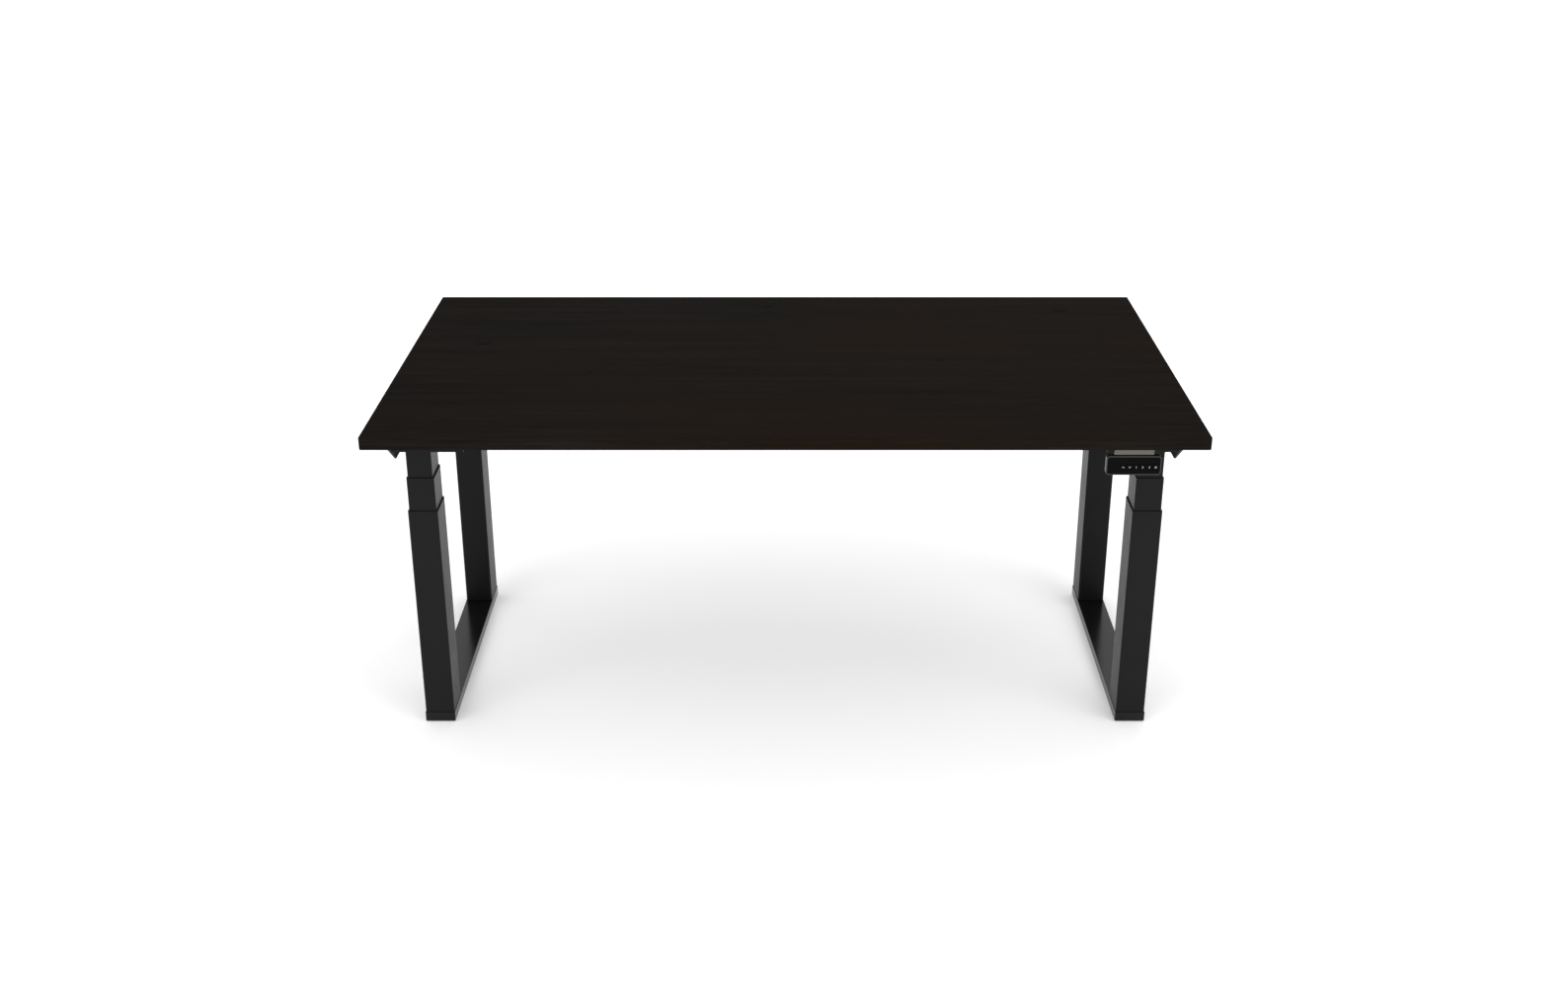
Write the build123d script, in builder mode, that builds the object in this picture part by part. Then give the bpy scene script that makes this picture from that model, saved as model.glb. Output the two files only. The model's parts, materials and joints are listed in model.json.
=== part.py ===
"""Height-adjustable desk: a table top on two U-shaped legs of three-stage telescopic columns.

Sizes are in millimetres. +X runs along the front edge, the user sits at -Y and +Z is up. The
origin lies on the floor below the middle of the table top. Every piece is drawn at the resting
height, with the stages partly raised.
"""

import os

from build123d import *

os.makedirs("parts", exist_ok=True)

# Table top
top_width = 1600.0
top_depth = 900.0
top_thickness = 25.0
top_corner = 4.0
top_edge = 1.5
desk_height = 700.0
lift_down = 120.0  # travel left below the resting height

# Legs
leg_inset = 46.0  # end of the table top to the outer face of the columns
leg_depth = 600.0  # front of the front column to the back of the rear column
bar_height = 20.0
bar_wall = 2.5
bar_lip = 1.0  # how far the bar stands out past the columns
bar_corner = 2.0
bar_edge = 0.8
foot_height = 2.5
foot_diameter = 30.0
foot_stem_diameter = 8.0
foot_stem_length = 12.0

# Telescopic columns
column_width = 60.0
column_depth = 80.0
tube_wall = 1.5
tube_corner = 4.0
corner_step = 1.0  # each stage has tighter corners than the one around it
least_corner = 0.3
stage_gap = 1.0  # side clearance between two stages
stage_end_gap = 3.0  # end clearance between two lowered stages
outer_length = 457.0
column_seam = 0.8  # floor bar to the lower edge of an outer tube
middle_show = 71.0  # length of the middle stage in sight at rest
collar_rim = 2.5
collar_skirt = 30.0
shoe_height = 30.0
shoe_lip = 3.0

# Lift drive: a fixed screw in a six-sided drive tube, in a hollow screw, in a nut tube
base_plate = 5.0
base_screw_diameter = 12.0
drive_flats = 17.0
drive_nut_length = 25.0
drive_collar_height = 8.0
lift_screw_diameter = 24.0
lift_tube_diameter = 34.0
lift_tube_wall = 2.5
lift_plate = 5.0
lift_nut_length = 34.0
lift_nut_flange = 4.0
motor_flange = 4.0
motor_diameter = 38.0
motor_length = 120.0
gear_diameter = 43.0
gear_length = 50.0
shaft_diameter = 10.0
shaft_length = 18.0
drive_end_gap = 5.0
motor_gap = 0.5

# Fits
glide_clearance = 0.3
seat_clearance = 0.1
thread_clearance = 0.1

# Frame under the table top
sheet = 3.0
fold_radius = 3.0
plate_width = 145.0
plate_setback = 16.0  # front edge of the table top to the ends of the side plates
rail_height = 48.0
rail_taper = 61.0
rail_nose_radius = 6.0
lip_height = 10.0
lip_relief = 9.0
head_length = 110.0
crossbeam_width = 50.0
crossbeam_height = 30.0
crossbeam_spread = 300.0
crossbeam_end_gap = 11.0  # end of a crossbeam to the inner face of the inner tubes

# Fasteners
base_bolt_diameter = 6.0
base_bolt_head = (10.0, 6.0)  # diameter, height
base_bolt_inset = 9.5
frame_bolt_diameter = 8.0
frame_bolt_head = (13.0, 5.0)
frame_bolt_inset = 9.0
frame_bolt_tip_gap = 0.5
screw_diameter = 4.2
screw_head = (10.0, 2.5)
screw_length = 16.0
screw_edge = 36.0
hole_clearance = 0.3

# Control box
control_width = 260.0
control_depth = 100.0
control_height = 36.0
control_x = -200.0
control_corner = 8.0
control_edge = 3.0
control_plate_thickness = 2.0
control_ear = 20.0
control_ear_hole_inset = 8.0
socket_depth = 8.0
motor_socket = (16.0, 11.0)
motor_socket_count = 4
motor_socket_pitch = 26.0
handset_socket = (12.0, 9.0)
mains_inlet = (28.0, 20.0)
socket_row_x = -50.0
handset_socket_x = 58.0
mains_inlet_x = 96.0
vent_count = 9
vent_pitch = 9.0
vent_slot = (3.0, 60.0)
vent_depth = 1.5

# Handset
handset_width = 104.0
handset_height = 38.0
handset_corner = 6.0
handset_edge = 2.0
handset_inset = 141.5  # end of the table top to the middle of the handset
handset_drop = 16.5  # underside of the table top to the top of the handset
handset_reach = 5.0  # front lip of the side plate to the face of the handset
handset_rim = 2.0
handset_wall = 2.5
handset_ledge = 1.2
face_thickness = 2.0
face_recess = 0.5
bracket_width = 75.0
bracket_sheet = 1.5
bracket_fold = 0.5  # inner radius of the fold
bracket_top_gap = 1.0
bracket_foot_gap = 2.0  # end of the foot to the rounded back of the handset
key_names = ("up", "down", "one", "two", "three", "store")
key_pitch = 12.3
key_inset = 10.3
key_row_drop = 22.2
key_width = 10.2
key_height = 13.0
key_edge = 0.5
key_lip = 0.8
key_lip_thickness = 1.2
key_travel = 0.8  # also how far a key stands proud of the face
switch_size = 6.0
switch_height = 2.5
switch_gap = 0.3
board_margin = 3.0
board_thickness = 1.6
boss_diameter = 6.0
boss_height = 2.6
boss_inset = 14.0
display_width = 18.0
display_height = 12.0
display_inset = 6.8
display_gap = 0.5


def grow(size, margin):
    """Give a (width, depth) pair with a margin added on all sides."""
    return size[0] + 2 * margin, size[1] + 2 * margin


def ring(outer, inner, corner):
    """Draw a rounded rectangular frame in the open sketch, even in thickness at its corners."""
    thickness = (outer[0] - inner[0]) / 2
    RectangleRounded(*outer, corner)
    RectangleRounded(*inner, max(corner - thickness, least_corner), mode=Mode.SUBTRACT)


def save(piece, name):
    """Label a finished piece and write it to its own file."""
    piece.part.label = name
    export_step(piece.part, f"parts/{name}.step")


# Sections of the three stages
outer_size = (column_width, column_depth)
outer_bore = grow(outer_size, -tube_wall)
middle_size = grow(outer_bore, -stage_gap)
middle_bore = grow(middle_size, -tube_wall)
inner_size = grow(middle_bore, -stage_gap)
inner_bore = grow(inner_size, -tube_wall)
outer_corner = tube_corner
middle_corner = max(outer_corner - corner_step, least_corner)
inner_corner = max(middle_corner - corner_step, least_corner)
outer_bore_corner = max(outer_corner - tube_wall, least_corner)
middle_bore_corner = max(middle_corner - tube_wall, least_corner)

# Places of the columns
column_x = top_width / 2 - leg_inset - column_width / 2
column_y = (leg_depth - column_depth) / 2
columns = {
    "front_left": (-column_x, -column_y),
    "rear_left": (-column_x, column_y),
    "front_right": (column_x, -column_y),
    "rear_right": (column_x, column_y),
}
centres = list(columns.values())
sides = {"left": -1, "right": 1}

# Heights at rest; the middle stage makes half the travel of the inner one
middle_down = lift_down / 2
underside = desk_height - top_thickness
bar_top = foot_height + bar_height
outer_bottom = bar_top + column_seam
outer_top = outer_bottom + outer_length
middle_top = outer_top + middle_show
middle_bottom = bar_top + base_plate + stage_end_gap + shoe_lip + middle_down
inner_bottom = middle_bottom - middle_down + lift_plate + stage_end_gap + shoe_lip + lift_down
head_top = underside - sheet
head_bottom = head_top - sheet
motor_bottom = head_bottom - motor_length
drive_bottom = middle_bottom + lift_plate
drive_nut_top = drive_bottom + drive_nut_length
lift_screw_top = motor_bottom - motor_gap
lift_socket_bottom = motor_bottom - shaft_length - motor_gap
lift_hex_top = lift_socket_bottom - motor_gap
lift_screw_bottom = drive_bottom + drive_collar_height + drive_end_gap - middle_down + lift_down
drive_top = lift_hex_top - lift_down + middle_down - drive_end_gap
base_screw_top = drive_top - middle_down - drive_end_gap
lift_nut_top = motor_bottom - lift_down + middle_down - drive_end_gap
lift_tube_top = lift_nut_top - lift_nut_flange

# Floor bars: closed box sections, with bolt and levelling holes below each column
bar_width = column_width + 2 * bar_lip
bar_length = leg_depth + 2 * bar_lip
bolt_x = outer_bore[0] / 2 - base_bolt_inset
bolt_y = outer_bore[1] / 2 - base_bolt_inset
bolt_points = [
    (x + dx, y + dy)
    for x, y in centres
    for dx in (-bolt_x, bolt_x)
    for dy in (-bolt_y, bolt_y)
]

for side_name, side in sides.items():
    with BuildPart() as floor_bar:
        with BuildSketch(Plane((side * column_x, 0, foot_height))):
            RectangleRounded(bar_width, bar_length, bar_corner)
        extrude(amount=bar_height)
        fillet(floor_bar.faces().sort_by(Axis.Z)[-1].edges(), bar_edge)
        with BuildSketch(Plane((side * column_x, 0, foot_height + bar_wall))):
            Rectangle(bar_width - 2 * bar_wall, bar_length - 2 * bar_wall)
        extrude(amount=bar_height - 2 * bar_wall, mode=Mode.SUBTRACT)
        with Locations(*[(x, y, foot_height) for x, y in bolt_points if x * side > 0]):
            Hole(base_bolt_head[0] / 2 + hole_clearance, depth=bar_wall)
        with Locations(*[(x, y, bar_top) for x, y in bolt_points if x * side > 0]):
            Hole(base_bolt_diameter / 2 + hole_clearance, depth=bar_wall)
        with Locations(*[(x, y, foot_height) for x, y in centres if x * side > 0]):
            Hole(foot_stem_diameter / 2 + thread_clearance, depth=bar_wall)
    save(floor_bar, f"floor_bar_{side_name}")

# Levelling feet: a flat disc on a threaded stem
with BuildPart() as levelling_feet:
    with BuildSketch():
        with Locations(*centres):
            Circle(foot_diameter / 2)
    extrude(amount=foot_height)
    chamfer(levelling_feet.faces().group_by(Axis.Z)[0].edges(), foot_height / 3)
    with BuildSketch(Plane.XY.offset(foot_height)):
        with Locations(*centres):
            Circle(foot_stem_diameter / 2)
    extrude(amount=foot_stem_length)
save(levelling_feet, "levelling_feet")

# Outer stage, a seam above the bar on the plate that closes its foot
for place, centre in columns.items():
    with BuildPart() as outer_tube:
        with BuildSketch(Plane((*centre, outer_bottom))):
            ring(outer_size, outer_bore, outer_corner)
        extrude(amount=outer_length)
    save(outer_tube, f"outer_tube_{place}")

# Collars in the mouths of the outer tubes, guiding the middle tubes
outer_opening = grow(middle_size, glide_clearance)
with BuildPart() as outer_collars:
    with BuildSketch(Plane.XY.offset(outer_top)):
        with Locations(*centres):
            ring(outer_size, outer_opening, outer_corner)
    extrude(amount=collar_rim)
    with BuildSketch(Plane.XY.offset(outer_top)):
        with Locations(*centres):
            ring(grow(outer_bore, -seat_clearance), outer_opening, outer_bore_corner)
    extrude(amount=-collar_skirt)
save(outer_collars, "outer_collars")

# Fixed screws, each on the plate that closes the foot of its outer tube
with BuildPart() as base_screws:
    with BuildSketch(Plane.XY.offset(bar_top)):
        with Locations(*centres):
            RectangleRounded(*grow(outer_bore, -seat_clearance), outer_corner)
    extrude(amount=base_plate)
    with BuildSketch(Plane.XY.offset(bar_top + base_plate)):
        with Locations(*centres):
            Circle(base_screw_diameter / 2)
    extrude(amount=base_screw_top - bar_top - base_plate)
    with Locations(*[(x, y, bar_top + base_plate) for x, y in bolt_points]):
        Hole(base_bolt_diameter / 2 + thread_clearance, depth=base_plate)
save(base_screws, "base_screws")

# Bolts inside the bars, holding the columns
with BuildPart() as base_bolts:
    with BuildSketch(Plane.XY.offset(bar_top - bar_wall)):
        with Locations(*bolt_points):
            Circle(base_bolt_head[0] / 2)
    extrude(amount=-base_bolt_head[1])
    with BuildSketch(Plane.XY.offset(bar_top - bar_wall)):
        with Locations(*bolt_points):
            Circle(base_bolt_diameter / 2)
    extrude(amount=bar_wall + base_plate)
save(base_bolts, "base_bolts")

# Middle stage: tube, its glides, and the nut tube that stands in it
middle_opening = grow(inner_size, glide_clearance)
middle_shoe = grow(outer_bore, -glide_clearance)
lift_tube_bore = lift_tube_diameter - 2 * lift_tube_wall
for place, centre in columns.items():
    with BuildPart() as middle_tube:
        with BuildSketch(Plane((*centre, middle_bottom))):
            ring(middle_size, middle_bore, middle_corner)
        extrude(amount=middle_top - middle_bottom)
    save(middle_tube, f"middle_tube_{place}")

    with BuildPart() as middle_glides:
        with BuildSketch(Plane((*centre, middle_top))):
            ring(middle_size, middle_opening, middle_corner)
        extrude(amount=collar_rim)
        with BuildSketch(Plane((*centre, middle_top))):
            ring(grow(middle_bore, -seat_clearance), middle_opening, middle_bore_corner)
        extrude(amount=-collar_skirt)
        with BuildSketch(Plane((*centre, middle_bottom))):
            ring(middle_shoe, grow(middle_size, seat_clearance), outer_bore_corner)
        extrude(amount=shoe_height)
        with BuildSketch(Plane((*centre, middle_bottom))):
            ring(middle_shoe, middle_bore, outer_bore_corner)
        extrude(amount=-shoe_lip)
    save(middle_glides, f"middle_glides_{place}")

    with BuildPart() as lift_tube:
        with BuildSketch(Plane((*centre, middle_bottom))):
            RectangleRounded(*grow(middle_bore, -seat_clearance), middle_corner)
        extrude(amount=lift_plate)
        with BuildSketch(Plane((*centre, drive_bottom))):
            Circle(lift_tube_diameter / 2)
            Circle(lift_tube_bore / 2, mode=Mode.SUBTRACT)
        extrude(amount=lift_tube_top - drive_bottom)
        with Locations((*centre, drive_bottom)):
            Hole(base_screw_diameter / 2 + stage_gap, depth=lift_plate)
    save(lift_tube, f"lift_tube_{place}")

    with BuildPart() as lift_nut:
        with BuildSketch(Plane((*centre, lift_tube_top))):
            Circle(lift_tube_diameter / 2)
        extrude(amount=lift_nut_flange)
        with BuildSketch(Plane((*centre, lift_tube_top))):
            Circle(lift_tube_bore / 2 - seat_clearance)
        extrude(amount=lift_nut_flange - lift_nut_length)
        with Locations((*centre, lift_nut_top)):
            Hole(lift_screw_diameter / 2 + thread_clearance, depth=lift_nut_length)
    save(lift_nut, f"lift_nut_{place}")

# Drive tubes: a nut on the fixed screw, turned by the hollow screw around it
for place, centre in columns.items():
    with BuildPart() as drive_tube:
        with BuildSketch(Plane((*centre, drive_bottom))):
            RegularPolygon(drive_flats / 2, 6, major_radius=False)
        extrude(amount=drive_top - drive_bottom)
        with BuildSketch(Plane((*centre, drive_bottom))):
            Circle(lift_tube_bore / 2 - glide_clearance)
        extrude(amount=drive_collar_height)
        with Locations((*centre, drive_bottom)):
            Hole(base_screw_diameter / 2 + thread_clearance, depth=drive_nut_length)
        with Locations((*centre, drive_top)):
            Hole(base_screw_diameter / 2 + glide_clearance, depth=drive_top - drive_nut_top)
    save(drive_tube, f"drive_tube_{place}")

# Hollow lift screws, hung on the motor shafts
for place, centre in columns.items():
    with BuildPart() as lift_screw:
        with BuildSketch(Plane((*centre, lift_screw_bottom))):
            Circle(lift_screw_diameter / 2)
        extrude(amount=lift_screw_top - lift_screw_bottom)
        with BuildSketch(Plane((*centre, lift_screw_bottom))):
            RegularPolygon(drive_flats / 2 + glide_clearance, 6, major_radius=False)
        extrude(amount=lift_hex_top - lift_screw_bottom, mode=Mode.SUBTRACT)
        with Locations((*centre, lift_screw_top)):
            Hole(shaft_diameter / 2 + thread_clearance, depth=lift_screw_top - lift_socket_bottom)
    save(lift_screw, f"lift_screw_{place}")

# Inner stage: tube welded to a head plate that bolts under the side plate
head_bolt_y = head_length / 2 - frame_bolt_inset
head_bolts = [(x, y + dy) for x, y in centres for dy in (-head_bolt_y, head_bolt_y)]
for place, centre in columns.items():
    with BuildPart() as inner_tube:
        with BuildSketch(Plane((*centre, inner_bottom))):
            ring(inner_size, inner_bore, inner_corner)
        extrude(amount=head_bottom - inner_bottom)
        with BuildSketch(Plane((*centre, head_bottom))):
            Rectangle(inner_size[0], head_length)
        extrude(amount=sheet)
        with Locations(*[(centre[0], centre[1] + dy, head_top) for dy in (-head_bolt_y, head_bolt_y)]):
            Hole(frame_bolt_diameter / 2 + hole_clearance, depth=sheet)
    save(inner_tube, f"inner_tube_{place}")

# Shoes on the lower ends of the inner tubes
inner_shoe = grow(middle_bore, -glide_clearance)
with BuildPart() as inner_shoes:
    with BuildSketch(Plane.XY.offset(inner_bottom)):
        with Locations(*centres):
            ring(inner_shoe, grow(inner_size, seat_clearance), middle_bore_corner)
    extrude(amount=shoe_height)
    with BuildSketch(Plane.XY.offset(inner_bottom)):
        with Locations(*centres):
            ring(inner_shoe, inner_bore, middle_bore_corner)
    extrude(amount=-shoe_lip)
save(inner_shoes, "inner_shoes")

# Motors with their gears, in the tops of the inner tubes
with BuildPart() as motors:
    with BuildSketch(Plane.XY.offset(head_bottom)):
        with Locations(*centres):
            RectangleRounded(*grow(inner_bore, -seat_clearance), inner_corner)
    extrude(amount=-motor_flange)
    with BuildSketch(Plane.XY.offset(head_bottom - motor_flange)):
        with Locations(*centres):
            Circle(motor_diameter / 2)
    extrude(amount=motor_flange + gear_length - motor_length)
    with BuildSketch(Plane.XY.offset(motor_bottom)):
        with Locations(*centres):
            Circle(gear_diameter / 2)
    extrude(amount=gear_length)
    with BuildSketch(Plane.XY.offset(motor_bottom)):
        with Locations(*centres):
            Circle(shaft_diameter / 2)
    extrude(amount=-shaft_length)
save(motors, "motors")

# Side plates: sheet under the table top, folded down as a tapered rail and two end lips
rail_x = column_x + inner_size[0] / 2 + sheet
plate_x = rail_x - plate_width / 2
plate_y = top_depth / 2 - plate_setback
plate_length = 2 * plate_y
crossbeam_y = crossbeam_spread / 2
crossbeam_half = column_x - inner_size[0] / 2 - crossbeam_end_gap
crossbeam_bolt_x = crossbeam_half - frame_bolt_inset
crossbeam_bolt_x_inner = rail_x - plate_width + frame_bolt_inset
beam_bolts = [
    (sx * x, sy * crossbeam_y)
    for sx in (-1, 1)
    for x in (crossbeam_bolt_x_inner, crossbeam_bolt_x)
    for sy in (-1, 1)
]
frame_bolt_points = head_bolts + beam_bolts
plate_screws = [
    (sx * x, y)
    for sx in (-1, 1)
    for x, y in (
        (rail_x - plate_width + screw_edge, screw_edge - plate_y),
        (rail_x - plate_width + screw_edge, 0),
        (rail_x - screw_edge, 0),
        (rail_x - plate_width + screw_edge, plate_y - screw_edge),
    )
]
lip_width = plate_width - lip_relief
lip_x = plate_x - lip_relief / 2
lip_y = plate_y - sheet / 2

for side_name, side in sides.items():
    with BuildPart() as side_plate:
        with BuildSketch(Plane.XY.offset(head_top)):
            with Locations((side * plate_x, 0)):
                Rectangle(plate_width, plate_length)
        extrude(amount=sheet)
        with BuildSketch(Plane.YZ.offset(side * rail_x)) as rail:
            with BuildLine():
                Polyline(
                    (-plate_y, underside),
                    (-plate_y, head_top),
                    (rail_taper - plate_y, underside - rail_height),
                    (plate_y - rail_taper, underside - rail_height),
                    (plate_y, head_top),
                    (plate_y, underside),
                    close=True,
                )
            make_face()
            fillet(rail.vertices().group_by(Axis.Y)[0], rail_nose_radius)
        extrude(amount=-side * sheet)
        with BuildSketch(Plane.XY.offset(underside)):
            with Locations((side * lip_x, -lip_y), (side * lip_x, lip_y)):
                Rectangle(lip_width, sheet)
        extrude(amount=-lip_height)
        long_edges = side_plate.faces().sort_by(Axis.Z)[-1].edges().filter_by(Axis.Y)
        fillet(long_edges.sort_by(Axis.X, reverse=side > 0)[0], sheet)
        with Locations(*[(x, y, underside) for x, y in frame_bolt_points if x * side > 0]):
            Hole(frame_bolt_diameter / 2 + thread_clearance, depth=sheet)
        with Locations(*[(x, y, underside) for x, y in plate_screws if x * side > 0]):
            Hole(screw_diameter / 2 + hole_clearance, depth=sheet)
    save(side_plate, f"side_plate_{side_name}")

# Crossbeams: channels, open below, bolted up to the side plates
for beam_name, sy in (("front", -1), ("rear", 1)):
    with BuildPart() as crossbeam:
        with BuildSketch(Plane.YZ) as channel:
            with Locations((sy * crossbeam_y, head_top - crossbeam_height / 2)):
                Rectangle(crossbeam_width, crossbeam_height)
            fillet(channel.vertices().group_by(Axis.Y)[-1], fold_radius)
            with Locations((sy * crossbeam_y, head_top - sheet - crossbeam_height / 2)):
                Rectangle(crossbeam_width - 2 * sheet, crossbeam_height, mode=Mode.SUBTRACT)
        extrude(amount=crossbeam_half, both=True)
        with Locations(*[(x, y, head_top) for x, y in beam_bolts if y * sy > 0]):
            Hole(frame_bolt_diameter / 2 + hole_clearance, depth=sheet)
    save(crossbeam, f"crossbeam_{beam_name}")

# Bolts of the frame, all alike
with BuildPart() as frame_bolts:
    with BuildSketch(Plane.XY.offset(head_bottom)):
        with Locations(*frame_bolt_points):
            Circle(frame_bolt_head[0] / 2)
    extrude(amount=-frame_bolt_head[1])
    with BuildSketch(Plane.XY.offset(head_bottom)):
        with Locations(*frame_bolt_points):
            Circle(frame_bolt_diameter / 2)
    extrude(amount=underside - head_bottom - frame_bolt_tip_gap)
save(frame_bolts, "frame_bolts")

# Control box: a mounting plate with ears and a closed case with its sockets at the back
control_ear_x = control_width / 2 + control_ear - control_ear_hole_inset
control_ear_y = control_depth / 2 - control_ear_hole_inset - control_corner / 2
control_screws = [
    (control_x + sx * control_ear_x, sy * control_ear_y) for sx in (-1, 1) for sy in (-1, 1)
]
control_plate_bottom = underside - control_plate_thickness
with BuildPart() as control_plate:
    with BuildSketch(Plane((control_x, 0, control_plate_bottom))):
        RectangleRounded(control_width + 2 * control_ear, control_depth, control_corner)
    extrude(amount=control_plate_thickness)
    with Locations(*[(x, y, underside) for x, y in control_screws]):
        Hole(screw_diameter / 2 + hole_clearance, depth=control_plate_thickness)
save(control_plate, "control_plate")

socket_middle = control_plate_bottom - control_height / 2
with BuildPart() as control_box:
    with BuildSketch(Plane((control_x, 0, control_plate_bottom))):
        RectangleRounded(control_width, control_depth, control_corner)
    extrude(amount=-control_height)
    fillet(control_box.faces().sort_by(Axis.Z)[0].edges(), control_edge)
    with BuildSketch(Plane((control_x, control_depth / 2, socket_middle), (-1, 0, 0), (0, 1, 0))):
        with Locations((socket_row_x, 0)):
            with GridLocations(motor_socket_pitch, 0, motor_socket_count, 1):
                Rectangle(*motor_socket)
        with Locations((handset_socket_x, 0)):
            Rectangle(*handset_socket)
        with Locations((mains_inlet_x, 0)):
            Rectangle(*mains_inlet)
    extrude(amount=-socket_depth, mode=Mode.SUBTRACT)
    with BuildSketch(Plane((control_x, 0, control_plate_bottom - control_height))):
        with GridLocations(vent_pitch, 0, vent_count, 1):
            Rectangle(*vent_slot)
    extrude(amount=vent_depth, mode=Mode.SUBTRACT)
save(control_box, "control_box")

# Screws into the table top
screws = [(x, y, head_top) for x, y in plate_screws]
screws += [(x, y, control_plate_bottom) for x, y in control_screws]
with BuildPart() as top_screws:
    with Locations(*screws):
        Cylinder(screw_head[0] / 2, screw_head[1], align=(Align.CENTER, Align.CENTER, Align.MAX))
        Cylinder(screw_diameter / 2, screw_length, align=(Align.CENTER, Align.CENTER, Align.MIN))
save(top_screws, "top_screws")

# Table top, with blind pilot holes from below
with BuildPart() as table_top:
    with BuildSketch(Plane.XY.offset(underside)):
        RectangleRounded(top_width, top_depth, top_corner)
    extrude(amount=top_thickness)
    fillet(table_top.faces().sort_by(Axis.Z)[-1].edges(), top_edge)
    fillet(table_top.faces().sort_by(Axis.Z)[0].edges(), top_edge)
    with Locations(*[(x, y, underside) for x, y, seat in screws]):
        Hole(screw_diameter / 2 + thread_clearance, depth=screw_length)
save(table_top, "table_top")

# Handset: bracket on the front lip, case, face, board and keys, seen from the front
handset_x = top_width / 2 - handset_inset
handset_top = underside - handset_drop
lip_front = -plate_y
handset_front = lip_front - handset_reach
handset_plane = Plane(
    (handset_x, handset_front, handset_top - handset_height / 2), (1, 0, 0), (0, -1, 0)
)
handset_size = (handset_width, handset_height)
recess_size = grow(handset_size, -handset_rim)
cavity_size = grow(recess_size, -handset_ledge)
recess_corner = max(handset_corner - handset_rim, least_corner)
cavity_corner = max(recess_corner - handset_ledge, least_corner)
key_y = handset_height / 2 - key_row_drop
key_points = [
    (handset_width / 2 - key_inset - step * key_pitch, key_y) for step in reversed(range(len(key_names)))
]
face_front = -face_recess
face_back = face_front - face_thickness
board_front = face_back - key_lip_thickness - key_travel - switch_gap - switch_height
board_back = board_front - board_thickness
board_size = grow(cavity_size, -board_margin)
cavity_back = board_back - boss_height
handset_depth = handset_wall - cavity_back
bracket_foot = handset_depth - handset_reach - handset_edge - bracket_foot_gap
boss_x = handset_width / 2 - boss_inset
boss_y = handset_height / 2 - boss_inset / 2

with BuildPart() as handset_bracket:
    with BuildSketch(Plane((handset_x, lip_front, handset_top), (0, 1, 0), (1, 0, 0))) as folded:
        Rectangle(bracket_sheet, handset_drop - bracket_top_gap, align=(Align.MAX, Align.MIN))
        Rectangle(bracket_foot, bracket_sheet, align=(Align.MIN, Align.MIN))
        fillet(folded.vertices().sort_by_distance((0, bracket_sheet))[0], bracket_fold)
        fillet(folded.vertices().sort_by_distance((-bracket_sheet, 0))[0], bracket_fold + bracket_sheet)
    extrude(amount=bracket_width / 2, both=True)
save(handset_bracket, "handset_bracket")

with BuildPart() as handset_case:
    with BuildSketch(handset_plane):
        RectangleRounded(*handset_size, handset_corner)
    extrude(amount=-handset_depth)
    fillet(handset_case.faces().sort_by(Axis.Y)[-1].edges(), handset_edge)
    with BuildSketch(handset_plane):
        RectangleRounded(*recess_size, recess_corner)
    extrude(amount=face_back, mode=Mode.SUBTRACT)
    with BuildSketch(handset_plane):
        RectangleRounded(*cavity_size, cavity_corner)
    extrude(amount=cavity_back, mode=Mode.SUBTRACT)
    with BuildSketch(handset_plane.offset(board_back)):
        with Locations((-boss_x, boss_y), (boss_x, boss_y)):
            Circle(boss_diameter / 2)
    extrude(amount=-boss_height)
save(handset_case, "handset_case")

with BuildPart() as handset_face:
    with BuildSketch(handset_plane.offset(face_back)):
        RectangleRounded(*grow(recess_size, -seat_clearance), recess_corner)
        with Locations(*key_points):
            Rectangle(key_width + 2 * glide_clearance, key_height + 2 * glide_clearance, mode=Mode.SUBTRACT)
    extrude(amount=face_thickness)
save(handset_face, "handset_face")

with BuildPart() as handset_board:
    with BuildSketch(handset_plane.offset(board_back)):
        RectangleRounded(*board_size, cavity_corner)
    extrude(amount=board_thickness)
    with BuildSketch(handset_plane.offset(board_front)):
        with Locations(*key_points):
            Rectangle(switch_size, switch_size)
    extrude(amount=switch_height)
    with BuildSketch(handset_plane.offset(board_front)):
        with Locations((display_inset + display_width / 2 - handset_width / 2, key_y)):
            Rectangle(display_width, display_height)
    extrude(amount=face_back - board_front - display_gap)
save(handset_board, "handset_board")

for key_name, point in zip(key_names, key_points):
    with BuildPart() as key:
        with BuildSketch(handset_plane.offset(face_back)):
            with Locations(point):
                Rectangle(key_width, key_height)
        extrude(amount=face_thickness + key_travel)
        fillet(key.faces().sort_by(Axis.Y)[0].edges(), key_edge)
        with BuildSketch(handset_plane.offset(face_back)):
            with Locations(point):
                Rectangle(key_width + 2 * key_lip, key_height + 2 * key_lip)
        extrude(amount=-key_lip_thickness)
    save(key, f"key_{key_name}")
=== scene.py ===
"""Dress a height-adjustable desk for its picture: finishes, fasteners, contacts, welds and key signs.

Everything is in metres in the desk's own frame: +X along the front edge, -Y towards the user and
+Z up. The file is laid out as an add-on, with one operator for each piece or group of like pieces.
"""

import json
import math

import bmesh
import bpy
from bpy.props import FloatProperty, FloatVectorProperty, IntProperty, PointerProperty
from mathutils import Euler, Matrix, Vector


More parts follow.
